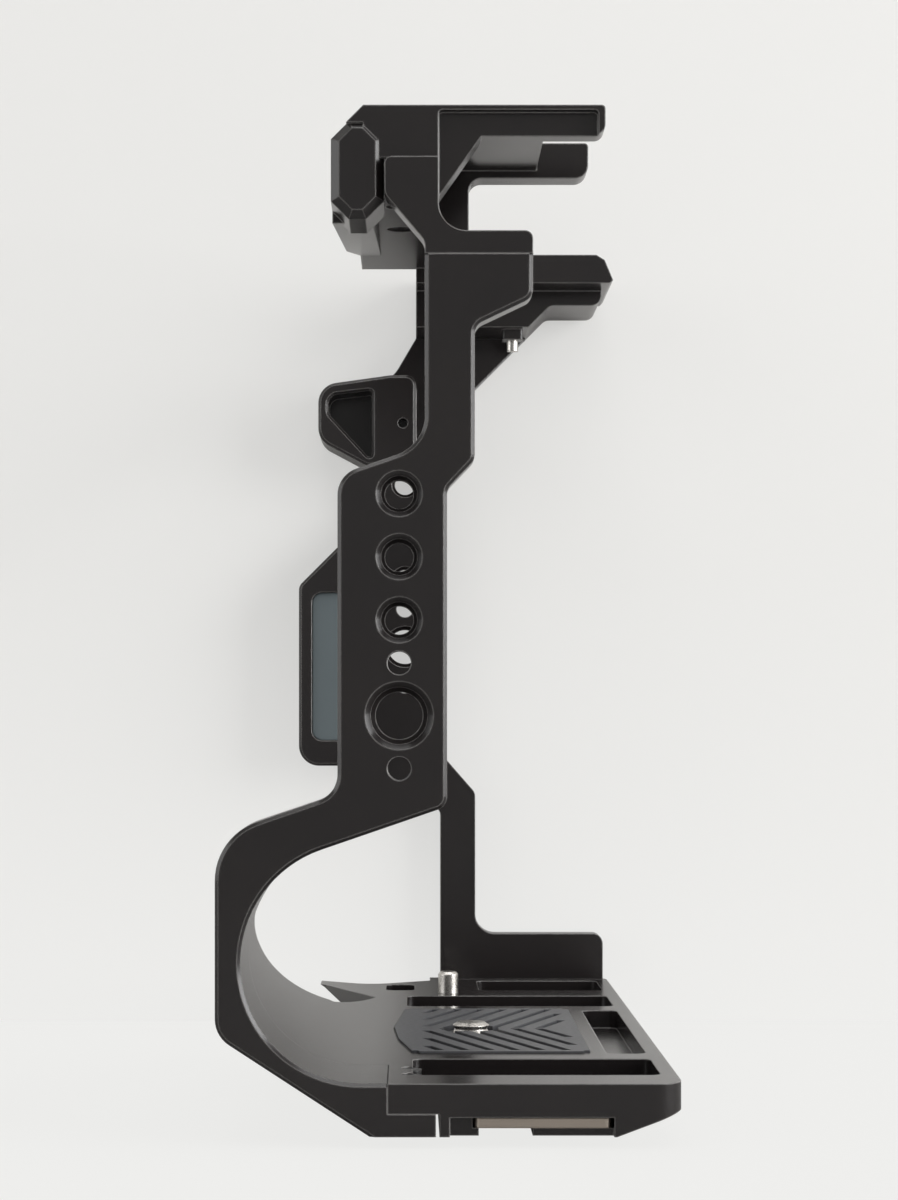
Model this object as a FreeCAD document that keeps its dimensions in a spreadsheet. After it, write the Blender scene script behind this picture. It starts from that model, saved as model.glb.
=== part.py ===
import FreeCAD, Part
import Sketcher
import math
import operator
import os

# Camera cage: a base plate with a curved palm rest, a left side frame whose hook goes round the
# hand grip, a right side frame with lugs and a soft inlay, and a top plate with three fingers.
# Millimetres. +Z is up, +X is the photographer's left hand side of the cage, -Y is the lens side.
# The origin lies under the middle of the cage, on the plane that the lowest screw heads touch.

SIZES = {
    # Whole cage
    "cage_length": 150.0,
    "cage_height": 150.2,
    "back_reach": 33.8,
    "edge_chamfer": 0.5,
    # Base plate
    "base_top": 9.0,
    "floor_height": 1.3,
    "back_edge_height": 4.1,
    "floor_back": 24.2,
    "toe_front": 11.5,
    "back_corner_radius": 4.0,
    "base_front_seam": 8.9,
    # Palm rest and hook
    "palm_setback": 12.8,
    "palm_radius": 17.3,
    "palm_wall": 2.5,
    "hook_wall": 3.7,
    "grip_slope": 19.0,
    "hook_width": 19.5,
    "hook_shoulder_radius": 9.0,
    "hook_toe_height": 15.8,
    "hook_toe_radius": 4.5,
    "hook_taper_low": 36.0,
    "liner_gap": 0.1,
    "rest_edge_high": 32.2,
    "rest_edge_middle": 24.6,
    "rest_edge_low": 9.9,
    "rest_middle_place": 27.0,
    "rest_low_place": -22.0,
    "rest_low_radius": 24.0,
    "rest_middle_radius": 36.0,
    "toe_meet": 23.6,
    "notch_start": -19.4,
    "notch_start_front": 19.4,
    "notch_root": -38.5,
    "notch_root_front": 12.0,
    "ear_near_place_from_far": 13.3,
    "ear_near_front": 22.6,
    "ear_tip_place_from_far": 5.6,
    "ear_tip_front": 24.1,
    "ear_neck_place_from_far": 13.5,
    "ear_neck_front": 13.5,
    "ear_end_place_from_far": 6.0,
    "ear_end_front": 1.7,
    # Left side frame
    "left_wall": 4.5,
    "left_bar_front": 16.1,
    "left_bar_back": 0.3,
    "hook_shoulder": 50.7,
    "left_neck_front": 3.5,
    "left_neck_back": 3.7,
    "left_neck_foot": 98.9,
    "left_neck_step": 4.2,
    "left_head_back": 12.1,
    "left_head_foot_from_top": 27.9,
    "left_head_root_from_top": 31.9,
    "left_shoulder": 96.7,
    "left_seam_from_top": 21.6,
    "fine_round": 0.6,
    "corner_round": 1.0,
    "small_round": 2.0,
    "large_round": 6.0,
    # Holes in the left side frame
    "left_hole_setback": 7.2,
    "left_first_hole": 75.8,
    "left_hole_pitch": 9.1,
    "left_hole_count": 3,
    "quarter_bore": 5.2,
    "quarter_mouth": 6.7,
    "three_eighth_bore": 8.2,
    "three_eighth_mouth": 9.9,
    "anchor_pin_bore": 3.4,
    "anchor_pin_pitch": 15.24,
    "left_anchor_height": 62.0,
    # Tongue under the base
    "tongue_thickness": 3.3,
    "tongue_length": 23.0,
    "tongue_back": 1.9,
    "tongue_gap": 0.5,
    # Base joint screws
    "base_screw_diameter": 3.0,
    "base_screw_head": 5.5,
    "base_screw_head_height": 1.65,
    "base_screw_setback": 5.4,
    "left_screw_place_from_near": 10.3,
    "left_screw_pitch": 6.5,
    "screw_end_gap": 0.2,
    "socket_share": 0.66,
    "socket_depth": 0.9,
    # Cut-outs in the base
    "slot_back": 31.4,
    "slot_depth": 3.2,
    "near_slot_start_from_near": 9.0,
    "near_slot_end_from_near": 27.0,
    "near_slot_front": 5.2,
    "rear_slot_start": 42.0,
    "rear_slot_end": -17.0,
    "rear_slot_front": 25.2,
    "middle_slot_start": -23.5,
    "middle_slot_end": -41.0,
    "middle_slot_front": 6.2,
    "far_slot_start_from_far": 24.5,
    "far_slot_end_from_far": 6.5,
    "far_slot_front": 7.6,
    "small_slot_start_from_far": 24.3,
    "small_slot_end_from_far": 13.5,
    "small_slot_front": 10.3,
    "small_slot_setback": 4.8,
    "slot_corner": 1.5,
    # Camera pad
    "pad_recess": 1.0,
    "pad_thickness": 1.3,
    "pad_gap": 0.1,
    "pad_left": 41.5,
    "pad_right": -17.5,
    "pad_back": 22.8,
    "pad_front": 5.3,
    "pad_far_front": 6.6,
    "pad_nose_front": 7.6,
    "pad_nose_peak": 8.4,
    "pad_nose_left": 25.5,
    "pad_nose_right": 9.4,
    "pad_slot_length": 9.4,
    "pad_slot_width": 8.0,
    "pad_slot_round": 3.8,
    # Captive camera screw
    "screw_place": 11.6,
    "screw_offset": 4.6,
    "screw_thread": 6.35,
    "screw_neck": 4.7,
    "screw_bore_gap": 0.15,
    "screw_head": 12.0,
    "screw_head_height": 2.0,
    "screw_well_gap": 0.5,
    "screw_well_roof": 6.0,
    "screw_rise": 3.2,
    "screw_tip_height": 10.4,
    "screw_thread_length": 4.6,
    "screw_slot_width": 1.4,
    "screw_slot_depth": 1.0,
    "head_roof_gap": 0.15,
    "ring_outer": 8.4,
    "ring_thickness": 0.5,
    "ring_gap": 0.05,
    # Locating pin
    "locating_place": -45.6,
    "locating_offset": 1.6,
    "locating_diameter": 3.8,
    "locating_root": 3.0,
    "locating_rise": 4.2,
    "locating_depth": 5.0,
    "locating_chamfer": 0.5,
    # Flat wrench and its slot
    "wrench_front": 3.7,
    "wrench_width": 19.8,
    "wrench_thickness": 1.45,
    "wrench_length": 50.0,
    "wrench_inset": 0.5,
    "wrench_roof": 4.1,
    "wrench_gap": 0.12,
    "wrench_side_gap": 0.3,
    "wrench_blade_width": 7.0,
    "wrench_blade_length": 6.0,
    "wrench_hex": 6.35,
    "wrench_hex_place": 14.0,
    "wrench_hole": 5.0,
    "wrench_hole_place": 36.0,
    "lip_front": 4.3,
    "lip_back": 12.1,
    "mouth_depth": 1.5,
    "mouth_front": 0.1,
    "magnet_diameter": 5.0,
    "magnet_height": 1.2,
    "magnet_place_from_near": 18.0,
    "magnet_pitch": 24.0,
    # Right side frame
    "right_wall": 4.0,
    "right_bar_front": 14.0,
    "right_bar_back": 1.3,
    "right_neck_front": 4.5,
    "right_seam_from_top": 12.5,
    "right_web_back": 17.4,
    "right_leg_front": 0.4,
    "right_leg_back": 7.4,
    "right_leg_top": 46.5,
    "right_leg_root": 53.5,
    "right_leg_joint": 43.0,
    "foot_top": 18.2,
    "foot_back": 33.0,
    # Lug and wing on the right side frame
    "lug_depth": 13.0,
    "lug_front": 23.8,
    "lug_top_from_top": 23.0,
    "lug_rise_from_top": 21.0,
    "lug_neck": 9.5,
    "lug_foot_from_top": 33.8,
    "lug_root_from_top": 39.0,
    "lug_boss_foot_from_top": 37.2,
    "lug_boss_front": 12.7,
    "lug_rim": 2.0,
    "lug_pocket_depth": 8.0,
    "lug_pocket_foot_from_top": 28.6,
    "lug_pin_bore": 1.9,
    "lug_pin_depth": 4.0,
    "lug_pin_setback": 7.1,
    "lug_pin_height_from_top": 30.5,
    "wing_depth": 9.0,
    "wing_front": 27.8,
    "wing_foot_from_top": 98.2,
    "wing_top_from_top": 62.4,
    "wing_rim": 2.6,
    "inlay_recess": 2.2,
    "inlay_thickness": 1.4,
    "inlay_top_from_top": 63.7,
    "inlay_foot_from_top": 93.2,
    "inlay_back": 13.5,
    "inlay_gap": 0.1,
    # Holes in the right side frame
    "right_hole_setback": 6.7,
    "right_hole_low_from_top": 60.9,
    "right_hole_middle_from_top": 50.4,
    "right_hole_high_from_top": 41.8,
    "right_anchor_height_from_top": 74.4,
    # Screws of the right side frame and the top plate
    "frame_screw_diameter": 2.5,
    "frame_screw_head": 3.8,
    "frame_screw_head_height": 1.5,
    "frame_screw_grip": 6.0,
    "right_screw_first": 11.5,
    "right_screw_pitch": 17.0,
    "top_screw_first": 0.0,
    "top_screw_pitch": 6.0,
    "seam_screw_diameter": 2.0,
    "seam_screw_head": 3.6,
    "seam_screw_head_height": 1.3,
    "seam_screw_first": 5.2,
    "seam_screw_pitch": 4.4,
    # Strap clamp screw
    "strap_screw_diameter": 2.2,
    "strap_screw_place_from_far": 15.0,
    "strap_screw_setback": 14.4,
    "strap_screw_tip_from_top": 16.7,
    "strap_screw_length": 8.0,
    "strap_screw_gap": 0.06,
    "strap_boss_foot_from_top": 14.6,
    "strap_boss_width": 4.0,
    # Top plate
    "plate_thickness": 2.5,
    "plate_front": 17.1,
    "plate_back": 3.0,
    "head_thickness": 7.6,
    "head_front": 12.4,
    "riser_top_from_top": 7.6,
    "riser_front": 9.3,
    "riser_back": 1.5,
    "riser_foot_from_top": 13.0,
    "riser_toe_from_top": 19.8,
    "riser_step_from_top": 18.3,
    "riser_round": 1.2,
    "head_inset": 1.0,
    "finger_thickness": 4.2,
    "finger_width": 5.0,
    "finger_inset": 1.6,
    "finger_round": 1.4,
    "finger_recess_drop": 0.7,
    "left_finger_back": 22.6,
    "inner_finger_place_from_near": 26.0,
    "inner_finger_back": 21.8,
    "inner_finger_root": 3.4,
    "inner_finger_thickness": 5.4,
    "bridge_back": 13.8,
    "bridge_thickness": 4.2,
    "right_finger_place_from_far": 28.0,
    "right_finger_back": 33.2,
    "right_finger_thickness": 5.4,
    "right_finger_nose": 1.6,
    "right_head_place_from_far": 19.0,
    "right_head_foot_from_top": 8.3,
    "gusset_root_from_top": 18.3,
    "gusset_back": 4.7,
    "skirt_foot_from_top": 15.6,
    "skirt_back": 6.0,
    "skirt_start_from_near": 9.0,
    "skirt_end_from_far": 41.0,
    "block_width": 12.0,
    "block_inset": 0.6,
    "block_top_from_top": 2.2,
    "block_foot_from_top": 16.4,
    "block_back": 9.4,
    "block_corner": 2.6,
    "block_bevel": 1.2,
    "cut_margin": 20.0,
}


class Size:
    """A number together with the sheet formula that it comes from."""

    def __init__(self, value, formula):
        self.value = value
        self.formula = formula

    def __add__(self, other):
        return combined(self, "+", other)

    def __sub__(self, other):
        return combined(self, "-", other)

    def __mul__(self, other):
        return combined(self, "*", other)

    def __truediv__(self, other):
        return combined(self, "/", other)

    def __neg__(self):
        return Size(-self.value, f"-({self.formula})")


OPERATIONS = {"+": operator.add, "-": operator.sub, "*": operator.mul, "/": operator.truediv}


def as_size(number):
    """Take a plain number or a Size and give back a Size."""
    if isinstance(number, Size):
        return number
    return Size(float(number), repr(float(number)))


def combined(left, sign, right):
    """Join two sizes by an arithmetic sign, both as a number and as a formula."""
    right = as_size(right)
    value = OPERATIONS[sign](left.value, right.value)
    return Size(value, f"({left.formula} {sign} {right.formula})")


def tangent_of(angle):
    """Tangent of an angle in degrees."""
    return Size(math.tan(math.radians(angle.value)), f"tan({angle.formula})")


def sine_of(angle):
    """Sine of an angle in degrees."""
    return Size(math.sin(math.radians(angle.value)), f"sin({angle.formula})")


def cosine_of(angle):
    """Cosine of an angle in degrees."""
    return Size(math.cos(math.radians(angle.value)), f"cos({angle.formula})")


class SizeTable:
    """The sizes, written to the sheet and reachable by name."""

    def __init__(self, sheet, table):
        for row, (name, value) in enumerate(table.items(), start=1):
            sheet.set(f"A{row}", name)
            sheet.set(f"B{row}", str(value))
            sheet.setAlias(f"B{row}", name)
            setattr(self, name, Size(value, f"Sizes.{name}"))


document = FreeCAD.newDocument("CameraCage")
sheet = document.addObject("Spreadsheet::Sheet", "Sizes")
s = SizeTable(sheet, SIZES)
document.recompute()

NEAR = s.cage_length / 2
FAR = -NEAR
PALM_HEIGHT = s.base_top + s.palm_radius
FRONT_REACH = s.palm_setback + s.palm_radius + s.hook_wall
PAIR = (0, 1)


def measure_from(ending, place_at):
    """Give each size whose name has an ending a second name, for the place that it leads to."""
    for name in SIZES:
        if name.endswith(ending):
            setattr(s, name.removesuffix(ending), place_at(getattr(s, name)))


measure_from("_from_top", lambda size: s.cage_height - size)
measure_from("_from_near", lambda size: NEAR - size)
measure_from("_from_far", lambda size: FAR + size)


def bind(target, name, size):
    """Give a property the size's value and tie it to the size's formula."""
    size = as_size(size)
    target.setExpression(name, size.formula)


def new_body(label):
    """Start an empty sub-part with its own label."""
    body = document.addObject("PartDesign::Body", label)
    body.Label = label
    return body


def origin_plane(body, role):
    """Find one of a body's own origin planes."""
    for feature in body.Origin.OriginFeatures:
        if feature.Role == role:
            return feature
    raise ValueError(role)


def new_sketch(body, name, role, height=0):
    """Start a sketch parallel to an origin plane, at a height along that plane's normal."""
    sketch = body.newObject("Sketcher::SketchObject", name)
    sketch.AttachmentSupport = (origin_plane(body, role), [""])
    sketch.MapMode = "FlatFace"
    bind(sketch, "AttachmentOffset.Base.z", height)
    return sketch


def corner_arc(before, corner, after, radius):
    """Arc that rounds a corner, its two tangent points and whether it runs counter-clockwise."""
    to_before = (before - corner).normalize()
    to_after = (after - corner).normalize()
    half = to_before.getAngle(to_after) / 2
    reach = radius / math.tan(half)
    first = corner + to_before * reach
    last = corner + to_after * reach
    centre = corner + (to_before + to_after).normalize() * (radius / math.sin(half))
    left_turn = to_before.cross(to_after).z < 0
    start, end = (first, last) if left_turn else (last, first)
    start_angle = math.atan2(start.y - centre.y, start.x - centre.x)
    end_angle = math.atan2(end.y - centre.y, end.x - centre.x)
    circle = Part.Circle(centre, FreeCAD.Vector(0, 0, 1), radius)
    return Part.ArcOfCircle(circle, start_angle, end_angle), first, last, left_turn


def place_point(sketch, element, point, across, up):
    """Hold a point of a sketch element at a named distance from the sketch origin."""
    for kind, size in (("DistanceX", across), ("DistanceY", up)):
        index = sketch.addConstraint(Sketcher.Constraint(kind, -1, 1, element, point, size.value))
        bind(sketch, f"Constraints[{index}]", size)


def draw_outline(sketch, corners):
    """Draw a closed outline through corners (across, up) or (across, up, rounding radius)."""
    sizes = [tuple(as_size(number) for number in corner) for corner in corners]
    points = [FreeCAD.Vector(corner[0].value, corner[1].value, 0) for corner in sizes]
    count = len(points)
    arcs = {}
    for index, corner in enumerate(sizes):
        if len(corner) == 3:
            before, after = points[index - 1], points[(index + 1) % count]
            arcs[index] = corner_arc(before, points[index], after, corner[2].value)
    lines = []
    for index in range(count):
        following = (index + 1) % count
        start = arcs[index][2] if index in arcs else points[index]
        end = arcs[following][1] if following in arcs else points[following]
        lines.append(sketch.addGeometry(Part.LineSegment(start, end)))
    for index, corner in enumerate(sizes):
        before, after = lines[index - 1], lines[index]
        if index not in arcs:
            sketch.addConstraint(Sketcher.Constraint("Coincident", before, 2, after, 1))
            place_point(sketch, after, 1, corner[0], corner[1])
            continue
        arc, first, last, left_turn = arcs[index]
        arc_id = sketch.addGeometry(arc)
        vertex = sketch.addGeometry(Part.Point(points[index]), True)
        entry, leaving = (1, 2) if left_turn else (2, 1)
        sketch.addConstraint([
            Sketcher.Constraint("Tangent", before, 2, arc_id, entry),
            Sketcher.Constraint("Tangent", after, 1, arc_id, leaving),
            Sketcher.Constraint("PointOnObject", vertex, 1, before),
            Sketcher.Constraint("PointOnObject", vertex, 1, after),
        ])
        place_point(sketch, vertex, 1, corner[0], corner[1])
        radius = sketch.addConstraint(Sketcher.Constraint("Radius", arc_id, corner[2].value))
        bind(sketch, f"Constraints[{radius}]", corner[2])


def draw_circle(sketch, across, up, diameter):
    """Draw a circle by its centre and diameter."""
    across, up, diameter = as_size(across), as_size(up), as_size(diameter)
    centre = FreeCAD.Vector(across.value, up.value, 0)
    normal = FreeCAD.Vector(0, 0, 1)
    circle = sketch.addGeometry(Part.Circle(centre, normal, diameter.value / 2))
    place_point(sketch, circle, 3, across, up)
    index = sketch.addConstraint(Sketcher.Constraint("Diameter", circle, diameter.value))
    bind(sketch, f"Constraints[{index}]", diameter)


def pad(body, name, role, height, length, corners, toward_minus=False):
    """Raise an outline into a solid along the plane's normal, or against it."""
    sketch = new_sketch(body, f"{name}Outline", role, height)
    draw_outline(sketch, corners)
    return extrude(body, "PartDesign::Pad", name, sketch, length, toward_minus)


def extrude(body, kind, name, sketch, length, reverse):
    """Make a pad or a pocket from a sketch; a pocket runs against the normal unless reversed."""
    feature = body.newObject(kind, name)
    feature.Profile = sketch
    bind(feature, "Length", length)
    feature.Reversed = reverse
    sketch.Visibility = False
    return feature


def round_pad(body, name, role, height, length, circle):
    """Raise a circle, given as (across, up, diameter), into a cylinder along the plane's normal."""
    sketch = new_sketch(body, f"{name}Circle", role, height)
    draw_circle(sketch, *circle)
    return extrude(body, "PartDesign::Pad", name, sketch, length, False)


def cut(body, name, role, height, length, corners, along_normal=False):
    """Cut an outline out of the body, against the plane's normal or along it."""
    sketch = new_sketch(body, f"{name}Outline", role, height)
    draw_outline(sketch, corners)
    return extrude(body, "PartDesign::Pocket", name, sketch, length, along_normal)


def bore(body, name, role, height, length, circles, along_normal=False):
    """Cut round holes, each given as (across, up, diameter)."""
    sketch = new_sketch(body, f"{name}Circles", role, height)
    for circle in circles:
        draw_circle(sketch, *circle)
    return extrude(body, "PartDesign::Pocket", name, sketch, length, along_normal)


def dress(body, kind, name, size, wanted):
    """Chamfer or fillet the edges of the body so far for which wanted(edge) is true."""
    document.recompute()
    base = body.Tip
    names = [f"Edge{i}" for i, edge in enumerate(base.Shape.Edges, start=1) if wanted(edge)]
    if not names:
        raise ValueError(f"{name} found no edges")
    feature = body.newObject(kind, name)
    feature.Base = (base, names)
    bind(feature, "Radius" if kind == "PartDesign::Fillet" else "Size", size)
    return feature


def lies_at(edge, axis, size):
    """True for an edge that lies wholly in the plane across an axis at a place."""
    box = edge.BoundBox
    low, high = {"x": (box.XMin, box.XMax), "y": (box.YMin, box.YMax), "z": (box.ZMin, box.ZMax)}[axis]
    return abs(low - size.value) < 1e-4 and abs(high - size.value) < 1e-4


def runs_along(edge, axis):
    """True for a straight edge that runs along an axis."""
    box = edge.BoundBox
    lengths = {"x": box.XLength, "y": box.YLength, "z": box.ZLength}
    own = lengths.pop(axis)
    return edge.Curve.TypeId == "Part::GeomLine" and own > 1e-3 and max(lengths.values()) < 1e-4


def is_round(edge, diameter):
    """True for a full circle of a diameter."""
    circle = edge.Curve.TypeId == "Part::GeomCircle" and edge.isClosed()
    return circle and abs(edge.Curve.Radius * 2 - diameter.value) < 1e-4


def box_corners(low_across, low_up, high_across, high_up, radius=None):
    """Corners of a rectangle, rounded if a radius is given."""
    extra = () if radius is None else (radius,)
    return [
        (low_across, low_up) + extra,
        (high_across, low_up) + extra,
        (high_across, high_up) + extra,
        (low_across, high_up) + extra,
    ]


# Hook line shared by the left side frame and the base: it leaves the bar at the grip slope and
# runs down and forward, tangent to the circle of the palm rest.

SLOPE = tangent_of(s.grip_slope)
TANGENT_Y = -s.palm_setback - s.palm_radius * sine_of(s.grip_slope)
TANGENT_Z = PALM_HEIGHT + s.palm_radius * cosine_of(s.grip_slope)
TONGUE_TOP = s.floor_height + s.tongue_thickness


def hook_line(across):
    """Height of the lower line of the bar where it slopes down to the palm circle."""
    return TANGENT_Z + (across - TANGENT_Y) * SLOPE


def upper_hook_line(across):
    """Height of the upper line of the hook, which runs beside the lower one."""
    return s.hook_shoulder + SLOPE * (across + s.left_bar_front)


def hook_back():
    """Corners of the hook from the palm circle round the seam and under the toe."""
    return [
        (TANGENT_Y, TANGENT_Z),
        (-s.palm_setback, s.base_top),
        (-s.base_front_seam, s.base_top),
        (-s.base_front_seam, s.floor_height),
        (-s.toe_front, s.floor_height),
        (-FRONT_REACH, s.hook_toe_height, s.hook_toe_radius),
        (-FRONT_REACH, upper_hook_line(-FRONT_REACH), s.hook_shoulder_radius),
    ]


def make_left_side_frame():
    """Plate with the screw holes, a head that carries the top plate, and the hook."""
    body = new_body("left_side_frame")
    head = [
        (s.left_head_back, s.left_seam),
        (s.left_head_back, s.left_head_foot, s.small_round),
        (s.left_neck_back, s.left_head_root, s.small_round),
        (s.left_neck_back, s.left_neck_foot, s.small_round),
        (-s.left_bar_back, s.left_neck_foot - s.left_neck_step, s.small_round),
        (-s.left_bar_back, hook_line(-s.left_bar_back), s.small_round),
    ]
    neck_foot = s.left_shoulder + SLOPE * (s.left_bar_front - s.left_neck_front)
    front = [
        (-s.left_bar_front, upper_hook_line(-s.left_bar_front), s.small_round * 2),
        (-s.left_bar_front, s.left_shoulder, s.small_round * 2),
        (-s.left_neck_front, neck_foot, s.large_round),
        (-s.left_neck_front, s.left_seam),
    ]
    pad(body, "SidePlate", "YZ_Plane", NEAR, s.left_wall, head + hook_back() + front, True)
    inner = [(TANGENT_Y, upper_hook_line(TANGENT_Y))]
    pad(body, "Hook", "YZ_Plane", NEAR, s.hook_width, hook_back() + inner, True)
    tongue = box_corners(-s.toe_front, s.floor_height, -s.tongue_back, TONGUE_TOP)
    pad(body, "Tongue", "YZ_Plane", NEAR, s.tongue_length, tongue, True)
    palm = (-s.palm_setback, PALM_HEIGHT, s.palm_radius * 2)
    bore(body, "PalmOpening", "YZ_Plane", NEAR, s.hook_width * 2, [palm])
    hook_inside = NEAR - s.hook_width
    taper = [
        (hook_inside - s.left_wall, s.hook_taper_low),
        (hook_inside, s.hook_taper_low),
        (NEAR - s.left_wall, upper_hook_line(-s.palm_setback) - s.small_round),
        (NEAR - s.left_wall, s.hook_shoulder + s.cut_margin),
        (hook_inside - s.left_wall, s.hook_shoulder + s.cut_margin),
    ]
    cut(body, "HookTaper", "XZ_Plane", 0, FRONT_REACH + s.cut_margin, taper, True)
    holes = []
    for number in range(int(s.left_hole_count.value)):
        height = s.left_first_hole + s.left_hole_pitch * number
        holes.append((-s.left_hole_setback, height, s.quarter_bore))
    holes.append((-s.left_hole_setback, s.left_anchor_height, s.three_eighth_bore))
    for side in (-1, 1):
        height = s.left_anchor_height + s.anchor_pin_pitch / 2 * side
        holes.append((-s.left_hole_setback, height, s.anchor_pin_bore))
    bore(body, "MountHoles", "YZ_Plane", NEAR, s.left_wall * 2, holes)
    screws = []
    heads = []
    for number in PAIR:
        place = s.left_screw_place - s.left_screw_pitch * number
        screws.append((place, -s.base_screw_setback, s.base_screw_diameter))
        heads.append((place, -s.base_screw_setback, s.base_screw_head + s.tongue_gap))
    bore(body, "JointHoles", "XY_Plane", TONGUE_TOP, s.tongue_thickness * 2, screws)
    bore(body, "HeadSeats", "XY_Plane", s.base_screw_head_height, s.floor_height * 2, heads)
    seam = []
    for number in PAIR:
        setback = s.seam_screw_first + s.seam_screw_pitch * number
        seam.append((NEAR - s.left_wall / 2, setback, s.seam_screw_diameter))
    bore(body, "SeamHoles", "XY_Plane", s.left_seam, s.frame_screw_grip, seam)
    mouths = ((s.quarter_bore, s.quarter_mouth), (s.three_eighth_bore, s.three_eighth_mouth))
    for number, (hole, mouth) in enumerate(mouths):
        dress(body, "PartDesign::Chamfer", f"Mouths{number}", (mouth - hole) / 2,
              lambda edge, hole=hole: is_round(edge, hole) and lies_at(edge, "x", NEAR))
    seam_edge = s.left_seam
    dress(body, "PartDesign::Chamfer", "OuterEdges", s.edge_chamfer,
          lambda edge: lies_at(edge, "x", NEAR) and not edge.isClosed()
          and not lies_at(edge, "z", seam_edge)
          and not lies_at(edge, "y", -s.base_front_seam)
          and edge.BoundBox.ZMax > s.base_top.value + 0.01)
    return body


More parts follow.
